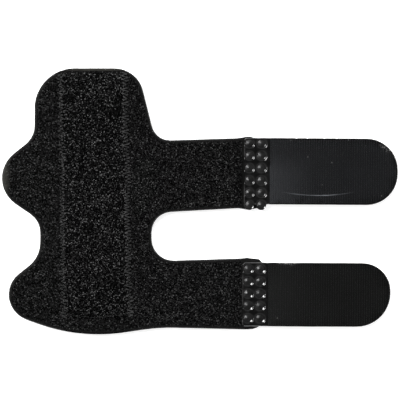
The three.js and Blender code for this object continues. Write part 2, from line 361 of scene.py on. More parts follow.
def fleeceMaterial(cloth):
    looks = fleeceLooks
    material, tree, shader, place = newMaterial(cloth + "Fleece", {"Roughness": 0.9, "Specular IOR Level": 0.0})
    speckle = speckled(tree, place, looks[cloth])
    napped = between(tree, marked(tree, "pile"), looks["pileFade"])
    colour = rimmed(tree, place, mixColours(tree, napped, grey(looks["rim"]), speckle["Colour"]))
    finishColour(tree, shader, place, colour, looks["lint"])
    addBump(tree, shader, speckle["Height"], looks["relief"])
    return material


# light is the colour of the fibres painted pale as glints
fibreLooks = {
    "dark": 0.0006, "light": {"wrap": 0.1, "sleeve": 0.2}, "tonePower": 4.0,
    "grain": 2500, "grainFade": (0.3, 0.7),
}


def fibreMaterial(cloth):  # single loops and hairs that stand up from the cloth; a few are painted pale as glints
    looks = fibreLooks
    material, tree, shader, place = newMaterial(cloth + "Fibre", {"Roughness": 0.5, "Specular IOR Level": 0.04})
    tone = maths(tree, "POWER", marked(tree, "tone"), looks["tonePower"])
    grain = patches(tree, place, looks["grain"], looks["grainFade"])
    share = maths(tree, "MULTIPLY", tone, grain)
    colour = mixColours(tree, share, grey(looks["dark"]), grey(looks["light"][cloth]))
    tree.links.new(colour, shader.inputs["Base Color"])
    return material


cutEdgeLooks = {
    "dark": 0.0012, "light": (0.0045, 0.97, 0.85), "grain": 1500.0, "grainShare": 0.6,
    "layers": 260.0, "layerBend": 1.5, "layerShare": 0.25,
    "grainFade": (0.3, 0.7), "roughness": (0.45, 0.7), "relief": (0.4, 0.08 * mm),
}


def cutEdgeMaterial():  # foam and cloth, pressed smooth by the cutting die
    looks = cutEdgeLooks
    material, tree, shader, place = newMaterial("cutEdge", {"Specular IOR Level": 0.1})
    grain = noise(tree, place, looks["grain"], 3.0)
    layers = addNode(tree, "ShaderNodeTexWave",
                     {"Vector": place, "Scale": looks["layers"], "Distortion": looks["layerBend"]},
                     wave_type="BANDS", bands_direction="Z")
    share = maths(tree, "ADD", maths(tree, "MULTIPLY", grain, looks["grainShare"]),
                  maths(tree, "MULTIPLY", layers.outputs["Fac"], looks["layerShare"]))
    colour = rimmed(tree, place, mixColours(tree, share, grey(looks["dark"]), grey(*looks["light"])))
    tree.links.new(colour, shader.inputs["Base Color"])
    tree.links.new(between(tree, grain, looks["grainFade"], looks["roughness"]), shader.inputs["Roughness"])
    addBump(tree, shader, grain, looks["relief"])
    return material


outerLooks = {
    "wales": (230.0, 2.0), "courses": (300.0, 3.0), "loops": 2600.0, "mottle": 300.0, "dark": 0.003,
    "light": 0.02, "spark": 1.5, "strands": 0.4, "knitFade": (0.0, 0.8), "knitShare": (0.6, 0.0),
    "loopHeight": 0.5, "lint": (700.0, 0.2), "relief": (0.6, 0.12 * mm),
}


def knitWaves(tree, place, wave, direction):
    scale, distortion = wave
    sockets = {"Vector": place, "Scale": scale, "Distortion": distortion, "Detail": 2.0, "Detail Scale": 3.0}
    node = addNode(tree, "ShaderNodeTexWave", sockets, wave_type="BANDS", bands_direction=direction)
    return node.outputs["Fac"]


def outerClothMaterial():  # the fine knitted loops of the outer side, in wales
    looks = outerLooks
    fixed = {"Roughness": 0.7, "Specular IOR Level": 0.2, "Sheen Weight": 0.1}
    material, tree, shader, place = newMaterial("outerCloth", fixed)
    knit = maths(tree, "MULTIPLY", knitWaves(tree, place, looks["wales"], "X"),
                 knitWaves(tree, place, looks["courses"], "Y"))
    speckle = speckled(tree, place, looks)
    # darker in the gaps between the knit's rows, where its bump is lowest: painted shade in the recesses
    knitGapShade = between(tree, knit, looks["knitFade"], looks["knitShare"])
    colour = mixColours(tree, knitGapShade, speckle["Colour"], grey(looks["dark"]))
    finishColour(tree, shader, place, colour, looks["lint"])
    height = maths(tree, "ADD", knit, maths(tree, "MULTIPLY", speckle["Height"], looks["loopHeight"]))
    addBump(tree, shader, height, looks["relief"])
    return material


threadLooks = {
    "twist": 5200.0, "twistFade": (0.35, 0.65), "dark": 0.006, "light": 0.06,
    "lint": (1400.0, 0.2), "relief": (0.6, 0.05 * mm),
}


def threadMaterial():
    looks = threadLooks
    material, tree, shader, place = newMaterial("seamThread", {"Roughness": 0.45, "Specular IOR Level": 0.15})
    twist = noise(tree, place, looks["twist"])
    share = between(tree, twist, looks["twistFade"])
    colour = mixColours(tree, share, grey(looks["dark"]), grey(looks["light"]))
    finishColour(tree, shader, place, colour, looks["lint"])
    addBump(tree, shader, twist, looks["relief"])
    return material


# the upper tab's tones are lighter than the lower's: the same tape painted as a lit and a shaded copy
tapeLooks = {
    "upper": {"dark": 0.0055, "light": 0.0071, "sheenNearWeld": 0.0182, "hooks": 0.0082, "sheenEdge": 14.5 * mm,
              "tint": (1.05, 1.14), "paleArc": 0.1},
    "lower": {"dark": 0.0032, "light": 0.0041, "sheenNearWeld": 0.0061, "hooks": 0.005, "sheenEdge": -20 * mm,
              "tint": (1.04, 1.01), "paleArc": 0.0},
    # the pale cut-edge line, the pale edge specks and the dark border here are painted highlight, painted glints
    # and painted shade
    "cutEdge": 0.035, "cutPatches": 220.0, "cutPatchFade": (0.42, 0.56), "worn": 0.25, "border": 0.0004,
    "grain": 1700.0, "grainFade": (0.3, 0.7), "glintSpeckFade": (0.5, 0.62), "roughness": (0.36, 0.5),
    "stains": 90.0, "stainFade": (0.35, 0.65), "lint": (600.0, 0.3), "relief": (0.25, 0.05 * mm),
}
paleArcLooks = {
    "top": (35.6 * mm, 1.74 * mm), "curve": 9.0, "width": 0.2 * mm, "reach": 11 * mm, "core": 0.2,
    "patches": 500.0, "patchFade": (0.3, 0.6), "patchShare": (0.3, 1.0),
}
# where a tab slopes up from its weld: a painted sheen, not a change in the tape
weldSheenLooks = {"along": (34 * mm, 20 * mm), "across": (0.0, 6 * mm), "share": (0.12, 1.0)}


def paleArcGroup():  # a thin pale line painted in an arc across the tab
    tree, given, out = newGroup("creaseMark", {"Place": vectorSocket}, {"Mask": floatSocket})
    looks, parts = paleArcLooks, axes(tree, given["Place"])
    topX, topY = looks["top"]
    along = maths(tree, "SUBTRACT", parts["X"], topX)
    square = maths(tree, "MULTIPLY", maths(tree, "MULTIPLY", along, along), looks["curve"])
    line = maths(tree, "ADD", square, topY)
    off = maths(tree, "ABSOLUTE", maths(tree, "SUBTRACT", parts["Y"], line))
    onLine = rangeOf(tree, off, looks["width"], looks["core"] * looks["width"])
    fade = rangeOf(tree, maths(tree, "ABSOLUTE", along), looks["reach"], looks["core"] * looks["reach"])
    patchy = patches(tree, given["Place"], looks["patches"], looks["patchFade"], looks["patchShare"])
    tree.links.new(maths(tree, "MULTIPLY", maths(tree, "MULTIPLY", onLine, fade), patchy), out.inputs["Mask"])
    return tree


def weldSheenGroup():  # a painted sheen that makes a tab paler low down beside the dots, where it slopes up from the weld
    tree, given, out = newGroup("weldGlow", {"Place": vectorSocket, "Edge": floatSocket}, {"Mask": floatSocket})
    parts = axes(tree, given["Place"])
    along = between(tree, parts["X"], weldSheenLooks["along"])
    lower = maths(tree, "SUBTRACT", given["Edge"], parts["Y"])
    across = between(tree, lower, weldSheenLooks["across"], weldSheenLooks["share"])
    tree.links.new(maths(tree, "MULTIPLY", along, across), out.inputs["Mask"])
    return tree


creaseMark = paleArcGroup()
weldGlow = weldSheenGroup()


def withPaleArc(tree, place, colour, side):
    pale = tapeLooks[side]["paleArc"]
    if not pale:
        return colour
    mask = useGroup(tree, creaseMark, {"Place": place})["Mask"]
    return mixColours(tree, mask, colour, grey(pale, *tapeLooks[side]["tint"]))


def cutEdgeHighlight(tree, place, mask):  # a painted highlight along the cut edge, shown only here and there
    shown = patches(tree, place, tapeLooks["cutPatches"], tapeLooks["cutPatchFade"])
    return maths(tree, "MULTIPLY", mask, shown)


def tapeMaterial(side):  # moulded hook tape: satin, with a painted sheen that makes it paler towards its weld
    material, tree, shader, place = newMaterial(side + "Tape", {"Specular IOR Level": 0.1})
    shared, looks = tapeLooks, tapeLooks[side]
    tint, top = looks["tint"], marked(tree, "top")
    grain = noise(tree, place, shared["grain"], 3.0)
    blotch = patches(tree, place, shared["stains"], shared["stainFade"])
    colour = mixColours(tree, blotch, grey(looks["dark"], *tint), grey(looks["light"], *tint))
    # painted sheen: paler near the weld
    weld = useGroup(tree, weldGlow, {"Place": place, "Edge": looks["sheenEdge"]})["Mask"]
    colour = mixColours(tree, weld, colour, grey(looks["sheenNearWeld"], *tint))
    colour = mixColours(tree, top, colour, withPaleArc(tree, place, colour, side))
    # painted shade along the tape's edge
    colour = mixColours(tree, marked(tree, "border"), colour, grey(shared["border"]))
    colour = mixColours(tree, cutEdgeHighlight(tree, place, marked(tree, "cut")), colour, grey(shared["cutEdge"]))
    # pale specks near one spot of the edge: painted glints where the edge curls up
    worn = maths(tree, "MULTIPLY", marked(tree, "worn"), top)
    glintSpot = maths(tree, "MULTIPLY", worn, between(tree, grain, shared["glintSpeckFade"]))
    finishColour(tree, shader, place, mixColours(tree, glintSpot, colour, grey(shared["worn"])), shared["lint"])
    tree.links.new(between(tree, grain, shared["grainFade"], shared["roughness"]), shader.inputs["Roughness"])
    addBump(tree, shader, grain, shared["relief"])
    return material


meltedLooks = {
    "dark": 0.0005, "light": 0.003, "grain": 700.0, "tone": (0.4, 0.65), "grainFade": (0.35, 0.65),
    "glossy": (0.04, 0.1), "dull": (0.3, 0.46), "facets": 800.0, "grainHeight": 0.2,
    "lint": (600.0, 0.2), "relief": (0.9, 0.1 * mm),
}


def meltedMaterial():  # the tape's welded end: glossy, with a duller crumpled dome in each dish
    looks = meltedLooks
    material, tree, shader, place = newMaterial("meltedTape", {"Specular IOR Level": 0.42})
    grain = noise(tree, place, looks["grain"], 1.0)
    colour = mixColours(tree, between(tree, grain, looks["tone"]), grey(looks["dark"]), grey(looks["light"]))
    # painted highlight along the welded end's cut edge
    colour = mixColours(tree, cutEdgeHighlight(tree, place, marked(tree, "cut")), colour, grey(tapeLooks["cutEdge"]))
    finishColour(tree, shader, place, colour, looks["lint"])
    dome = marked(tree, "dome")
    glossy = between(tree, grain, looks["grainFade"], looks["glossy"])
    dull = between(tree, grain, looks["grainFade"], looks["dull"])
    roughness = addNode(tree, "ShaderNodeMix", {0: dome, 2: glossy, 3: dull}).outputs[0]
    tree.links.new(roughness, shader.inputs["Roughness"])
    facets = addNode(tree, "ShaderNodeTexVoronoi", {"Vector": place, "Scale": looks["facets"]})
    crumpled = maths(tree, "MULTIPLY", facets.outputs["Distance"], dome)
    height = maths(tree, "ADD", maths(tree, "MULTIPLY", grain, looks["grainHeight"]), crumpled)
    addBump(tree, shader, height, looks["relief"])
    return material


hookLooks = {
    "stains": 110.0, "stainFade": (0.35, 0.65), "stainShare": (0.0, 0.8), "toneShare": 0.2,
    "dark": 0.75, "light": 1.25, "roughness": (0.35, 0.5),  # dark and light are shares of the side's tone
}


def hookMaterial(side):
    material, tree, shader, place = newMaterial(side + "Hooks", {"Specular IOR Level": 0.12})
    shared, looks = hookLooks, tapeLooks[side]
    tint, base = looks["tint"], looks["hooks"]
    tone = marked(tree, "tone")
    blotch = patches(tree, place, shared["stains"], shared["stainFade"], shared["stainShare"])
    shade = maths(tree, "ADD", blotch, maths(tree, "MULTIPLY", tone, shared["toneShare"]))
    colour = mixColours(tree, shade, grey(shared["dark"] * base, *tint), grey(shared["light"] * base, *tint))
    # painted sheen: paler near the weld
    weld = useGroup(tree, weldGlow, {"Place": place, "Edge": looks["sheenEdge"]})["Mask"]
    colour = mixColours(tree, weld, colour, grey(looks["sheenNearWeld"], *tint))
    tree.links.new(withPaleArc(tree, place, colour, side), shader.inputs["Base Color"])
    tree.links.new(rangeOf(tree, tone, 0.0, 1.0, *shared["roughness"]), shader.inputs["Roughness"])
    return material


floorLooks = {"dark": 0.9, "light": 0.92, "grain": 40.0}


def floorMaterial():  # a light table, so that no shadow shows
    looks = floorLooks
    fixed = {"Roughness": 0.9, "Specular IOR Level": 0.1, "Emission Strength": 0.4}
    material, tree, shader, place = newMaterial("paleTable", fixed)
    colour = mixColours(tree, noise(tree, place, looks["grain"]), grey(looks["dark"]), grey(looks["light"]))
    tree.links.new(colour, shader.inputs["Base Color"])
    tree.links.new(colour, shader.inputs["Emission Color"])
    return material


wrapFleece, sleeveFleece = fleeceMaterial("wrap"), fleeceMaterial("sleeve")
wrapFibre, sleeveFibre = fibreMaterial("wrap"), fibreMaterial("sleeve")
cutEdge = cutEdgeMaterial()
outerCloth = outerClothMaterial()
seamThread = threadMaterial()
tapeFinish = {"upper": tapeMaterial("upper"), "lower": tapeMaterial("lower")}
meltedTape = meltedMaterial()
hookFinish = {"upper": hookMaterial("upper"), "lower": hookMaterial("lower")}
print("materials are ready")


# Where the sleeve and the tabs lie

sleevePlace = {"turn": 1.1, "halfWidth": 10 * mm}  # a turn is in degrees
sleeveLow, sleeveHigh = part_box("stay_sleeve")
sleeveMiddle = (sleeveLow + sleeveHigh) / 2
sleeveTurn = Matrix.Rotation(math.radians(sleevePlace["turn"]), 3, "Z")
sleeveHalfLength = (sleeveHigh.y - sleeveLow.y) / 2


def inSleeve(point):  # across and along the sleeve, from its middle
    return sleeveTurn.inverted() @ Vector((point.x - sleeveMiddle.x, point.y - sleeveMiddle.y, 0))


tabTilt = -0.35
tabTurn = Matrix.Rotation(math.radians(tabTilt), 3, "Z")
tabs = {
    "upper": {"node": "upper_hook_tab", "rows": 6, "firstRow": 0.45, "firstColumn": 0.45,
              "nicks": (0.34, 0.41, 0.52, 0.6), "glintSpot": (56.0 * mm, 15.9 * mm), "seed": 3},
    "lower": {"node": "lower_hook_tab", "rows": 5, "firstRow": 0.53, "firstColumn": 0.46,
              "nicks": (0.17, 0.25, 0.29), "glintSpot": (27 * mm, -18.4 * mm), "seed": 8},
}
for tab in tabs.values():
    corners = [tabTurn.inverted() @ v.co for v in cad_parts[tab["node"]].data.vertices]
    low = Vector(min(c[i] for c in corners) for i in range(3))
    high = Vector(max(c[i] for c in corners) for i in range(3))
    tab["length"], tab["width"] = high.x - low.x, high.y - low.y
    tab["start"] = tabTurn @ Vector((low.x, (low.y + high.y) / 2, 0))


def inTab(tab, point):  # along and across a tab, from the middle of its welded end
    return tabTurn.inverted() @ Vector((point.x - tab["start"].x, point.y - tab["start"].y, 0))


# The wrap

wrapShape = {
    "voxel": 0.36 * mm, "rim": 0.75 * mm, "rimFade": 0.5 * mm,
    "napSize": 0.9 * mm, "napHeight": 0.26 * mm,
    "fineSize": 0.42 * mm, "fineHeight": 0.12 * mm,
    "swellSize": 16 * mm, "swellHeight": 0.22 * mm,
    "outerSize": 0.8 * mm, "outerHeight": 0.05 * mm,
    "sleeveFade": (-0.6 * mm, 0.1 * mm), "weldFade": (0.1 * mm, 0.5 * mm),  # where the nap starts, beside these
    "facesUp": 0.7, "facesDown": (0.7, 0.95), "underside": -0.75, "napped": 0.02,
}


def edgeFinder(piece):  # the distance in plan from the cut edge, for any point
    rim = [v.co for v in piece.data.vertices if abs(v.normal.z) < 0.35]
    tree = KDTree(len(rim))
    for i, place in enumerate(rim):
        tree.insert((place.x, place.y, 0), i)
    tree.balance()
    return lambda place: tree.find((place.x, place.y, 0))[2]


def makeWrap():
    shape = wrapShape
    wrap = copyNode("body_panel", "wrap")
    voxelRemesh(wrap, shape["voxel"])
    soften(wrap, 4)
    fromEdge = edgeFinder(wrap)
    tabStart = min(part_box(tab["node"])[0].x for tab in tabs.values())

    def bareShare(point):  # 1 where the pile stands free, 0 at the rim, under the sleeve and at the welds
        if point.normal.z < shape["facesUp"]:
            return 0
        place = inSleeve(point.co)
        margin = max(abs(place.x) - sleevePlace["halfWidth"], abs(place.y) - sleeveHalfLength)
        uncovered = smoothStep(margin, *shape["sleeveFade"])
        unpressed = smoothStep(tabStart - point.co.x, *shape["weldFade"])
        rim = smoothStep(fromEdge(point.co), shape["rim"], shape["rim"] + shape["rimFade"])
        return uncovered * unpressed * rim

    markPoints(wrap, "pile", bareShare)
    markPoints(wrap, "outer", lambda point: smoothStep(-point.normal.z, *shape["facesDown"]))
    bump(wrap, clouds("nap", shape["napSize"]), shape["napHeight"], "pile")
    bump(wrap, clouds("fineNap", shape["fineSize"]), shape["fineHeight"], "pile")
    bump(wrap, clouds("swell", shape["swellSize"], 0), shape["swellHeight"], "pile", "Z")
    bump(wrap, clouds("outerNap", shape["outerSize"]), shape["outerHeight"], "outer")
    applyModifiers(wrap)
    for material in (wrapFleece, cutEdge, outerCloth):
        wrap.data.materials.append(material)
    pile = [value.value for value in wrap.data.attributes["pile"].data]
    for face in wrap.data.polygons:
        level = max(pile[i] for i in face.vertices)
        covered = abs(inSleeve(face.center).x) < sleevePlace["halfWidth"] and face.normal.z > 0
        fleece, under = level > shape["napped"] or covered, face.normal.z < shape["underside"]
        face.material_index = 0 if fleece else 2 if under else 1
    smoothShade(wrap)
    return wrap


wrap = makeWrap()
print("wrap:", len(wrap.data.polygons), "faces")


# The sleeve over the stay

sleeveShape = {
    "voxel": 0.27 * mm, "napSize": 0.95 * mm, "napHeight": 0.3 * mm,
    "fineSize": 0.45 * mm, "fineHeight": 0.14 * mm,
    "flat": 8 * mm, "dipWide": 2 * mm, "seamDip": 0.25 * mm,  # the dip starts at flat, from the middle line
}


def makeSleeve():
    shape = sleeveShape
    sleeve = copyNode("stay_sleeve", "sleeve")
    voxelRemesh(sleeve, shape["voxel"])
    soften(sleeve, 5)
    markPoints(sleeve, "pile", lambda point: smoothStep(point.normal.z, 0.5, 0.8))
    for point in sleeve.data.vertices:  # the strip is pulled down to the wrap along its edges
        place = inSleeve(point.co)
        wide = shape["dipWide"]
        past = max(abs(place.x) - shape["flat"], abs(place.y) - sleeveHalfLength + wide) / wide
        point.co.z -= shape["seamDip"] * smoothStep(past, 0, 1)
    bump(sleeve, clouds("sleeveNap", shape["napSize"]), shape["napHeight"], "pile")
    bump(sleeve, clouds("sleeveFine", shape["fineSize"]), shape["fineHeight"], "pile")
    applyModifiers(sleeve)
    sleeve.data.materials.append(sleeveFleece)
    smoothShade(sleeve)
    return sleeve


sleeve = makeSleeve()
print("sleeve:", len(sleeve.data.polygons), "faces")


# Loops and hairs of the pile

pileShape = {
    "loopRadius": 0.26 * mm, "loopThread": 0.05 * mm, "loopFoot": -0.1 * mm, "loopLean": 0.9,
    "hairLength": 0.8 * mm, "hairThick": 0.035 * mm, "hairLeans": (0.35, 0.55), "hairTaper": 0.8, "hairLean": 0.8,
    "sizes": (0.65, 1.3),
    "wrap": {"loops": 1.15, "hairs": 0.9, "seed": 11},  # so many for each square millimetre
    "sleeve": {"loops": 1.7, "hairs": 1.4, "seed": 23},
}


def loopTuft(material):
    bpy.ops.mesh.primitive_torus_add(major_segments=8, minor_segments=3, major_radius=pileShape["loopRadius"],
                                     minor_radius=pileShape["loopThread"], rotation=(math.pi / 2, 0, 0))
    tuft = newest("loopTuft")
    settle(tuft)
    bpy.ops.object.mode_set(mode="EDIT")
    bpy.ops.mesh.select_all(action="SELECT")
    bpy.ops.mesh.bisect(plane_co=(0, 0, pileShape["loopFoot"]), plane_no=(0, 0, 1),
                        clear_inner=True, use_fill=True)
    bpy.ops.mesh.select_all(action="SELECT")
    bpy.ops.mesh.normals_make_consistent(inside=False)
    bpy.ops.object.mode_set(mode="OBJECT")
    tuft.data.materials.append(material)
    smoothShade(tuft)
    return tuft


def hairTuft(material):  # one fibre: three short lengths of a thin prism that lean over
    length, thick, taper = pileShape["hairLength"], pileShape["hairThick"], pileShape["hairTaper"]
    bpy.ops.mesh.primitive_cylinder_add(vertices=3, radius=thick, depth=length / 3, end_fill_type="NGON")
    hair = newest("hairTuft")
    for lean in pileShape["hairLeans"]:
        selectFaces(hair, lambda face: face.center.z == max(f.center.z for f in hair.data.polygons))
        move = (length / 3 * math.sin(lean), 0, length / 3 * math.cos(lean))
        bpy.ops.mesh.extrude_region_move(TRANSFORM_OT_translate={"value": move})
        bpy.ops.transform.resize(value=(taper, taper, taper))
        bpy.ops.object.mode_set(mode="OBJECT")
    hair.data.materials.append(material)
    smoothShade(hair)
    return hair


meshSocket = "NodeSocketGeometry"
objectSocket = "NodeSocketObject"
wholeSocket = "NodeSocketInt"


def randomTurn(tree, given, spin):  # leans any way by up to the given lean, and turns by up to spin
    most = addNode(tree, "ShaderNodeCombineXYZ", {"X": given["Lean"], "Y": given["Lean"], "Z": spin}).outputs[0]
    least = addNode(tree, "ShaderNodeVectorMath", {0: most, "Scale": -1.0}, operation="SCALE").outputs[0]
    turn = addNode(tree, "FunctionNodeRandomValue", {"Min": least, "Max": most, "Seed": given["Seed"]},
                   data_type="FLOAT_VECTOR")
    return addNode(tree, "FunctionNodeEulerToRotation", {0: turn.outputs["Value"]}).outputs[0]


def dressed(tree, points, source, rotation, seed, sizes):  # a copy on each point, each with a tone of its own
    least, most = sizes
    size = addNode(tree, "FunctionNodeRandomValue", {2: least, 3: most, "Seed": seed}, data_type="FLOAT")
    tuft = addNode(tree, "GeometryNodeObjectInfo", {"Object": source, "As Instance": True})
    copies = addNode(tree, "GeometryNodeInstanceOnPoints",
                     {"Points": points, "Instance": tuft.outputs["Geometry"],
                      "Rotation": rotation, "Scale": size.outputs[1]})
    tone = addNode(tree, "FunctionNodeRandomValue", {2: 0.0, 3: 1.0, "Seed": 7}, data_type="FLOAT")
    toned = addNode(tree, "GeometryNodeStoreNamedAttribute",
                    {"Geometry": copies.outputs[0], "Name": "tone", "Value": tone.outputs[1]},
                    data_type="FLOAT", domain="INSTANCE")
    return addNode(tree, "GeometryNodeRealizeInstances", {"Geometry": toned.outputs[0]}).outputs[0]


def scatterTree():  # copies a tuft over a cloth, as thick as the cloth's pile value says
    inputs = {"Cloth": meshSocket, "Tuft": objectSocket, "Density": floatSocket, "Lean": floatSocket,
              "Seed": wholeSocket}
    tree, given, out = newGroup("scatterTufts", inputs, {"Pile": meshSocket}, "GeometryNodeTree")
    pile = addNode(tree, "GeometryNodeInputNamedAttribute", {"Name": "pile"}, data_type="FLOAT")
    density = maths(tree, "MULTIPLY", given["Density"], pile.outputs["Attribute"])
    spread = addNode(tree, "GeometryNodeDistributePointsOnFaces",
                     {"Mesh": given["Cloth"], "Density": density, "Seed": given["Seed"]})
    rotate = addNode(tree, "FunctionNodeRotateRotation",
                     {"Rotation": spread.outputs["Rotation"], "Rotate By": randomTurn(tree, given, math.pi)},
                     rotation_space="LOCAL")
    points, turn = spread.outputs["Points"], rotate.outputs[0]
    tufts = dressed(tree, points, given["Tuft"], turn, given["Seed"], pileShape["sizes"])
    tree.links.new(tufts, out.inputs[0])
    return tree


scatter = scatterTree()


def socketName(tree, name):  # the modifier's own name of an input
    return next(item.identifier for item in tree.interface.items_tree if item.name == name)


def runNodes(piece, tree, values):
    nodes = piece.modifiers.new(tree.name, "NODES")
    nodes.node_group = tree
    for key, value in values.items():
        nodes[socketName(tree, key)] = value
    applyModifiers(piece)


def scattered(cloth, tuft, name, density, lean, seed):
    pile = copyOf(cloth, name)
    runNodes(pile, scatter, {"Tuft": tuft, "Density": density, "Lean": lean, "Seed": seed})
    return pile


def makePile(cloth, material):
    shape, amounts = pileShape, pileShape[cloth.name]
    name, seed, perSquare = cloth.name + "_pile", amounts["seed"], 1 / mm / mm
    loop, hair = loopTuft(material), hairTuft(material)
    pile = scattered(cloth, loop, name, amounts["loops"] * perSquare, shape["loopLean"], seed)
    hairPile = scattered(cloth, hair, name + "_hairs", amounts["hairs"] * perSquare, shape["hairLean"], seed + 1)
    joinInto(pile, [hairPile])
    for tuft in (loop, hair):
        bpy.data.objects.remove(tuft)
    smoothShade(pile)
    return pile


wrapPile, sleevePile = makePile(wrap, wrapFibre), makePile(sleeve, sleeveFibre)
print("pile:", len(wrapPile.data.polygons), "and", len(sleevePile.data.polygons), "faces")


# The seams that hold the sleeve down

seamShape = {
    "thread": {"left": 0.07 * mm, "right": 0.14 * mm, "foot": 0.06 * mm}, "pitch": 0.52 * mm,
    "reachIn": 1.15 * mm, "reachOut": 1.1 * mm, "short": 0.995,
    "wander": 0.2 * mm, "wanderWaves": (210, 77), "group": 8, "tight": (0.85, 0.15),
    "uneven": (0.8, 0.4), "unevenStep": 12.9898, "slip": 0.18 * mm, "slipStep": 37.7,
    "stitch": ((0, -2.5), (0.18, 0.6), (0.5, 0.9), (0.82, 0.6)),  # its share, and a lift in thread radii
    "left": (-9.4 * mm, -9.75 * mm), "right": (9.9 * mm, 9.95 * mm),  # across, at the tip end and the foot
    "footStitches": 70, "footIn": 0.5 * mm, "footWave": 0.35 * mm, "footWaves": 9,
    "footLift": 0.1, "footDip": -3,
}
clothTree = surfaceOf([wrap, sleeve])


def clothHeight(x, y):
    hit = clothTree.ray_cast(Vector((x, y, 20 * mm)), Vector((0, 0, -1)))
    return hit[0].z if hit[0] else 0


def threadPiece(side, places):  # a thread laid on the cloth through places given across and along the sleeve
    thick = seamShape["thread"][side]
    curve = bpy.data.curves.new(side + "Thread", "CURVE")
    curve.dimensions = "3D"
    curve.bevel_depth = thick
    curve.bevel_resolution = 1
    curve.use_fill_caps = True
    spline = curve.splines.new("POLY")
    spline.points.add(len(places) - 1)
    for point, (across, along, lift) in zip(spline.points, places):
        place = sleeveTurn @ Vector((across, along, 0)) + sleeveMiddle
        point.co = (place.x, place.y, clothHeight(place.x, place.y) + lift * thick, 1)
    piece = bpy.data.objects.new(side + "_seam", curve)
    bpy.context.collection.objects.link(piece)
    makeActive(piece)
    bpy.ops.object.convert(target="MESH")
    piece.data.materials.append(seamThread)
    smoothShade(piece)
    return piece


def zigzagPlaces(side, outward):  # long stitches from side to side that dip into the cloth at each end
    shape = seamShape
    tip, foot = shape[side]
    (quick, slow), (tightest, loosening), (least, more) = shape["wanderWaves"], shape["tight"], shape["uneven"]
    count = int(2 * sleeveHalfLength / shape["pitch"])
    ends = []
    for i in range(count):
        share = i / (count - 1)
        along = sleeveHalfLength * (1 - 2 * share) * shape["short"]
        wander = shape["wander"] * math.sin(along * quick) * math.sin(along * slow + 1)
        middle = tip + (foot - tip) * share + wander
        tight = tightest + loosening * math.sin(i * 2 * math.pi / shape["group"])
        reach = shape["reachOut"] if i % 2 else -shape["reachIn"]
        reach *= tight * (least + more * math.sin(shape["unevenStep"] * i) ** 2)
        ends.append((middle + outward * reach, along + shape["slip"] * math.sin(shape["slipStep"] * i)))
    places = []
    for (across, along), (nextAcross, nextAlong) in zip(ends, ends[1:]):
        for step, lift in shape["stitch"]:
            places.append((across + (nextAcross - across) * step, along + (nextAlong - along) * step, lift))
    return places


leftSeam = threadPiece("left", zigzagPlaces("left", -1))
rightSeam = threadPiece("right", zigzagPlaces("right", 1))


def footPlaces():  # running stitches from seam to seam that dip at every third place
    shape = seamShape
    left, right = shape["left"][1], shape["right"][1]
    places = []
    for i in range(shape["footStitches"]):
        share = i / (shape["footStitches"] - 1)
        along = -sleeveHalfLength + shape["footIn"] + shape["footWave"] * math.sin(share * shape["footWaves"])
        lift = shape["footLift"] if i % 3 else shape["footDip"]
        places.append((left + (right - left) * share, along, lift))
    return places


footSeam = threadPiece("foot", footPlaces())
print("seams are sewn")


# The hook tabs

tapeShape = {
    "voxel": 0.14 * mm, "keep": 0.3, "pitch": 3.7 * mm, "columnPitch": 3.6 * mm, "columns": 2,
    "rim": 1.74 * mm, "floorOuter": 1.2 * mm, "floorInner": 1.08 * mm, "crown": 0.2 * mm,
    "depth": 0.33 * mm, "rise": 0.34 * mm, "thick": 0.9 * mm, "base": 1.6 * mm, "plug": 1.55 * mm,
    "nickRadius": 0.4 * mm, "weldZone": 8.3 * mm, "meltShort": 0.5 * mm,
    "bevel": 0.02 * mm, "plugFoot": 0.1 * mm, "plugShort": 0.01 * mm,
    "cutFade": (0.12 * mm, 0.3 * mm), "borderFade": (0.3 * mm, 0.6 * mm), "edgeGlintFade": (1 * mm, 3 * mm),
}


def weldPlaces(tab):
    shape = tapeShape
    for column in range(shape["columns"]):
        for row in range(tab["rows"]):
            x = (tab["firstColumn"] + column) * shape["columnPitch"]
            y = tab["width"] / 2 - (tab["firstRow"] + row) * shape["pitch"]
            yield tabTurn @ Vector((x, y, shape["base"] + shape["thick"])) + tab["start"]


def weldStamp():  # the horn's tip: a shallow dish pressed round a low cone
    shape = tapeShape
    bpy.ops.mesh.primitive_cylinder_add(vertices=28, radius=shape["rim"], depth=4 * shape["depth"],
                                        location=(0, 0, shape["depth"] + shape["bevel"]))
    stamp = newest("weldStamp")
    settle(stamp)
    selectFaces(stamp, lambda face: face.normal.z < -0.9)
    bpy.ops.mesh.inset(thickness=shape["bevel"], depth=0)
    bpy.ops.transform.translate(value=(0, 0, shape["depth"]))
    bpy.ops.mesh.inset(thickness=shape["rim"] - shape["floorOuter"], depth=0)
    bpy.ops.transform.translate(value=(0, 0, -shape["depth"]))
    bpy.ops.mesh.inset(thickness=shape["floorOuter"] - shape["floorInner"], depth=0)
    bpy.ops.mesh.inset(thickness=shape["floorInner"] - shape["crown"], depth=0)
    bpy.ops.transform.translate(value=(0, 0, shape["rise"]))
    bpy.ops.object.mode_set(mode="OBJECT")
    return stamp


def stampAt(stamp, place):
    copy = copyOf(stamp, "cutter")
    copy.location = place
    settle(copy)
    return copy


def upright(radius, sides, low, high, place):  # a standing cylinder
    bpy.ops.mesh.primitive_cylinder_add(vertices=sides, radius=radius, depth=high - low,
                                        location=(place.x, place.y, (low + high) / 2))
    piece = newest("upright")
    settle(piece)
    return piece


def combine(piece, tools, operation):
    joinInto(tools[0], tools[1:])
    change = piece.modifiers.new(operation, "BOOLEAN")
    change.operation, change.solver, change.object = operation, "EXACT", tools[0]
    applyModifiers(piece)
    bpy.data.objects.remove(tools[0])


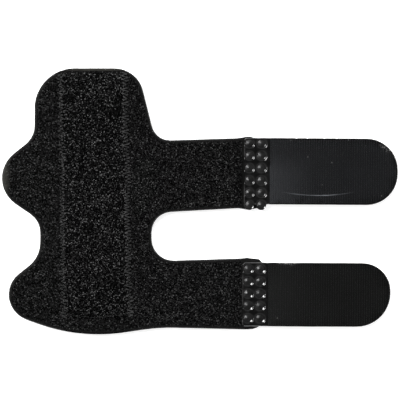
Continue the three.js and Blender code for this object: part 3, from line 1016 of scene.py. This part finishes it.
def makeTape(side):
    tab, shape = tabs[side], tapeShape
    tape = copyNode(tab["node"], side + "_tape")
    places = list(weldPlaces(tab))
    low = shape["base"] + shape["plugFoot"]
    high = shape["base"] + shape["thick"] - shape["plugShort"]
    combine(tape, [upright(shape["plug"], 20, low, high, place) for place in places], "UNION")
    stamp = weldStamp()
    cutters = [stampAt(stamp, place) for place in places]
    for share in tab["nicks"]:
        edge = Vector((share * tab["length"], tab["width"] / 2 + 0.6 * shape["nickRadius"], 0))
        cutters.append(upright(shape["nickRadius"], 10, 0, 5 * mm, tabTurn @ edge + tab["start"]))
    combine(tape, cutters, "DIFFERENCE")
    bpy.data.objects.remove(stamp)
    voxelRemesh(tape, shape["voxel"])
    soften(tape, 4)

    def flatShare(point):
        return smoothStep(inTab(tab, point.co).x, shape["weldZone"], shape["weldZone"] + 1 * mm)

    markPoints(tape, "flat", flatShare)
    thin = tape.modifiers.new("thin", "DECIMATE")
    thin.ratio, thin.vertex_group = shape["keep"], "flat"
    applyModifiers(tape)
    fromEdge = edgeFinder(tape)
    # the spot where pale specks are painted as glints on the edge
    glintSpot = Vector(tab["glintSpot"])

    def domeShare(point):
        nearest = min((point.co - place).xy.length for place in places)
        return 1 - smoothStep(nearest, shape["floorInner"], shape["floorOuter"])

    # the band along the tape's edge, darkened there as painted shade
    def borderShare(point):
        return 1 - smoothStep(fromEdge(point.co), *shape["borderFade"])

    # near the glint spot and along the edge, where pale specks are painted as glints
    def edgeGlintShare(point):
        near = 1 - smoothStep((point.co.xy - glintSpot).length, *shape["edgeGlintFade"])
        return near * borderShare(point)

    # the welded end's cut edge, painted pale as a highlight
    markPoints(tape, "cut", lambda point: 1 - smoothStep(inTab(tab, point.co).x, *shape["cutFade"]))
    markPoints(tape, "dome", domeShare)
    markPoints(tape, "top", lambda point: smoothStep(point.normal.z, 0, 0.4))
    markPoints(tape, "worn", edgeGlintShare)
    markPoints(tape, "border", borderShare)
    tape.data.materials.append(tapeFinish[side])
    tape.data.materials.append(meltedTape)
    for face in tape.data.polygons:
        face.material_index = 1 if inTab(tab, face.center).x < shape["weldZone"] - shape["meltShort"] else 0
    smoothShade(tape)
    return tape


hookShape = {  # the head's rows are along, up and taper
    "ribPitch": 0.72 * mm, "rowPitch": 0.55 * mm, "height": 0.24 * mm, "thick": 0.22 * mm, "wide": 0.4 * mm,
    "margin": 0.45 * mm, "lean": 0.12, "sizes": (0.85, 1.1), "overWeld": 0.6 * mm, "sink": 0.05 * mm,
    "stem": 0.6, "head": ((0.1, 0.25, 0.95), (0.3, 0.17, 0.9), (0.3, -0.08, 0.75)),
}


def hookTuft(side):  # one moulded hook: a stem whose head bends over
    height, thick = hookShape["height"], hookShape["thick"]
    bpy.ops.mesh.primitive_cube_add(size=1, location=(0, 0, 0.2 * height))
    hook = newest("hookTuft")
    hook.scale = (thick, hookShape["wide"], hookShape["stem"] * height)
    settle(hook)
    selectFaces(hook, lambda face: face.normal.z > 0.9)
    for along, up, keep in hookShape["head"]:
        move = {"value": (0, along * height, up * height)}
        bpy.ops.mesh.extrude_region_move(TRANSFORM_OT_translate=move)
        bpy.ops.transform.resize(value=(keep, keep, keep))
    bpy.ops.mesh.select_all(action="SELECT")
    bpy.ops.mesh.normals_make_consistent(inside=False)
    bpy.ops.object.mode_set(mode="OBJECT")
    hook.data.materials.append(hookFinish[side])
    smoothShade(hook)
    return hook


def standTree():  # one copy of a hook on each point of a grid
    inputs = {"Grid": meshSocket, "Hook": objectSocket, "Lean": floatSocket, "Seed": wholeSocket}
    tree, given, out = newGroup("standOnPoints", inputs, {"Hooks": meshSocket}, "GeometryNodeTree")
    turn = randomTurn(tree, given, given["Lean"])
    hooks = dressed(tree, given["Grid"], given["Hook"], turn, given["Seed"], hookShape["sizes"])
    tree.links.new(hooks, out.inputs[0])
    return tree


standing = standTree()


def makeHooks(side, tape):
    tab, shape = tabs[side], hookShape
    near, far = tapeShape["weldZone"] - shape["overWeld"], tab["length"] - shape["margin"]
    columns = int((far - near) / shape["ribPitch"])
    rows = int((tab["width"] - 2 * shape["margin"]) / shape["rowPitch"])
    middle = tabTurn @ Vector(((near + far) / 2, 0, 0)) + tab["start"]
    bpy.ops.mesh.primitive_grid_add(
        x_subdivisions=columns, y_subdivisions=rows, size=1,
        location=(middle.x, middle.y, 3 * mm), rotation=(0, 0, tabTurn.to_euler().z))
    hooks = newest(side + "_hooks")
    hooks.scale = (columns * shape["ribPitch"], rows * shape["rowPitch"], 1)
    settle(hooks)
    fromEdge = edgeFinder(tape)
    tapeTree = surfaceOf([tape])
    makeActive(hooks)
    bpy.ops.object.mode_set(mode="EDIT")
    bpy.ops.mesh.select_mode(type="VERT")
    bpy.ops.mesh.select_all(action="DESELECT")
    bpy.ops.object.mode_set(mode="OBJECT")
    for point in hooks.data.vertices:
        hit = tapeTree.ray_cast(point.co + Vector((0, 0, 10 * mm)), Vector((0, 0, -1)))[0]
        point.select = hit is None or fromEdge(point.co) < shape["margin"]
        if hit:
            point.co.z = hit.z - shape["sink"]
    bpy.ops.object.mode_set(mode="EDIT")
    bpy.ops.mesh.delete(type="VERT")
    bpy.ops.object.mode_set(mode="OBJECT")
    hook = hookTuft(side)
    runNodes(hooks, standing, {"Hook": hook, "Lean": shape["lean"], "Seed": tab["seed"]})
    bpy.data.objects.remove(hook)
    return hooks


tapes, hooks = {}, {}
for side in tabs:
    tapes[side] = makeTape(side)
    hooks[side] = makeHooks(side, tapes[side])
    tapeFaces, hookFaces = len(tapes[side].data.polygons), len(hooks[side].data.polygons)
    print(side, "tab:", tapeFaces, "tape and", hookFaces, "hook faces")


dent = {"inner": 0.7 * mm, "outer": 1.4 * mm, "depth": 0.28 * mm, "straps": 8 * mm}


def pressUnderside():  # each weld leaves a shallow dent in the outer cloth
    places = [place for tab in tabs.values() for place in weldPlaces(tab)]
    under = [p for p in wrap.data.vertices if p.normal.z < -wrapShape["facesUp"] and p.co.x > dent["straps"]]
    for point in under:
        nearest = min((point.co - place).xy.length for place in places)
        point.co.z += dent["depth"] * (1 - smoothStep(nearest, dent["inner"], dent["outer"]))


pressUnderside()


# What each piece rides on and stands for, with the name of its finish, which is not used here

for piece, node, finish in (
    (wrap, "body_panel", "wrap_cloth"), (sleeve, "stay_sleeve", "sleeve_cloth"),
    (tapes["upper"], "upper_hook_tab", "hook_tape"), (tapes["lower"], "lower_hook_tab", "hook_tape"),
):
    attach(piece, "root")
    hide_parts(node)
for piece, finish in (
    (wrapPile, "wrap_cloth"), (sleevePile, "sleeve_cloth"), (leftSeam, "sleeve_cloth"), (rightSeam, "sleeve_cloth"),
    (footSeam, "sleeve_cloth"), (hooks["upper"], "hook_tape"), (hooks["lower"], "hook_tape"),
):
    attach(piece, "root")

print("pieces ride on their bodies")


# Table, light and camera

studio = {
    "floorSize": 8, "floorDrop": 0.02 * mm, "horizon": 1.0, "zenith": 0.15,
    "lens": 200, "sensor": 36, "viewWidth": 120 * mm, "viewHeight": 2.6 * mm, "viewAside": (0, 0.39 * mm),
    "clipStart": 0.05,
}
lamps = {
    "keyLamp": {"place": (-0.62, 0.42, 0.8), "size": 0.4, "power": 16.0, "mirrored": True},
    "sideLamp": {"place": (0.9, -0.35, 0.9), "size": 0.8, "power": 10.0, "mirrored": False},
    "backLamp": {"place": (-0.1, 1.1, 1.0), "size": 1.0, "power": 13.0, "mirrored": False},
}

bpy.ops.mesh.primitive_plane_add(size=studio["floorSize"], location=(0, 0, -studio["floorDrop"]))
table = newest("pale_table")
settle(table)
table.data.materials.append(floorMaterial())

for name, lamp in lamps.items():
    light = bpy.data.lights.new(name, "AREA")
    light.shape, light.size, light.energy = "DISK", lamp["size"], lamp["power"]
    holder = bpy.data.objects.new(name, light)
    holder.location = lamp["place"]
    holder.rotation_euler = (-Vector(lamp["place"])).to_track_quat("-Z", "Y").to_euler()
    holder.visible_camera = False
    holder.visible_glossy = lamp["mirrored"]
    bpy.context.collection.objects.link(holder)

sky = bpy.data.worlds.new("paleStudio")
bpy.context.scene.world = sky
sky.use_nodes = True
skyTree = sky.node_tree
skyTree.nodes["Background"].inputs["Color"].default_value = grey(1)
direction = skyTree.nodes.new("ShaderNodeTexCoord").outputs["Generated"]
height = addNode(skyTree, "ShaderNodeSeparateXYZ", {"Vector": direction}).outputs["Z"]
glow = rangeOf(skyTree, height, 0.0, 1.0, studio["horizon"], studio["zenith"])
seen = skyTree.nodes.new("ShaderNodeLightPath").outputs["Is Camera Ray"]
brightness = addNode(skyTree, "ShaderNodeMix", {0: seen, 2: glow, 3: 1.0}).outputs[0]
skyTree.links.new(brightness, skyTree.nodes["Background"].inputs["Strength"])

cameraData = bpy.data.cameras.new("camera")
cameraData.lens, cameraData.sensor_width = studio["lens"], studio["sensor"]
cameraData.clip_start = studio["clipStart"]
camera = bpy.data.objects.new("camera", cameraData)
rise = studio["viewWidth"] * studio["lens"] / studio["sensor"]
camera.location = (*studio["viewAside"], studio["viewHeight"] + rise)
bpy.context.collection.objects.link(camera)
bpy.context.scene.camera = camera
bpy.context.scene.view_settings.view_transform = "Standard"
print("studio is lit")
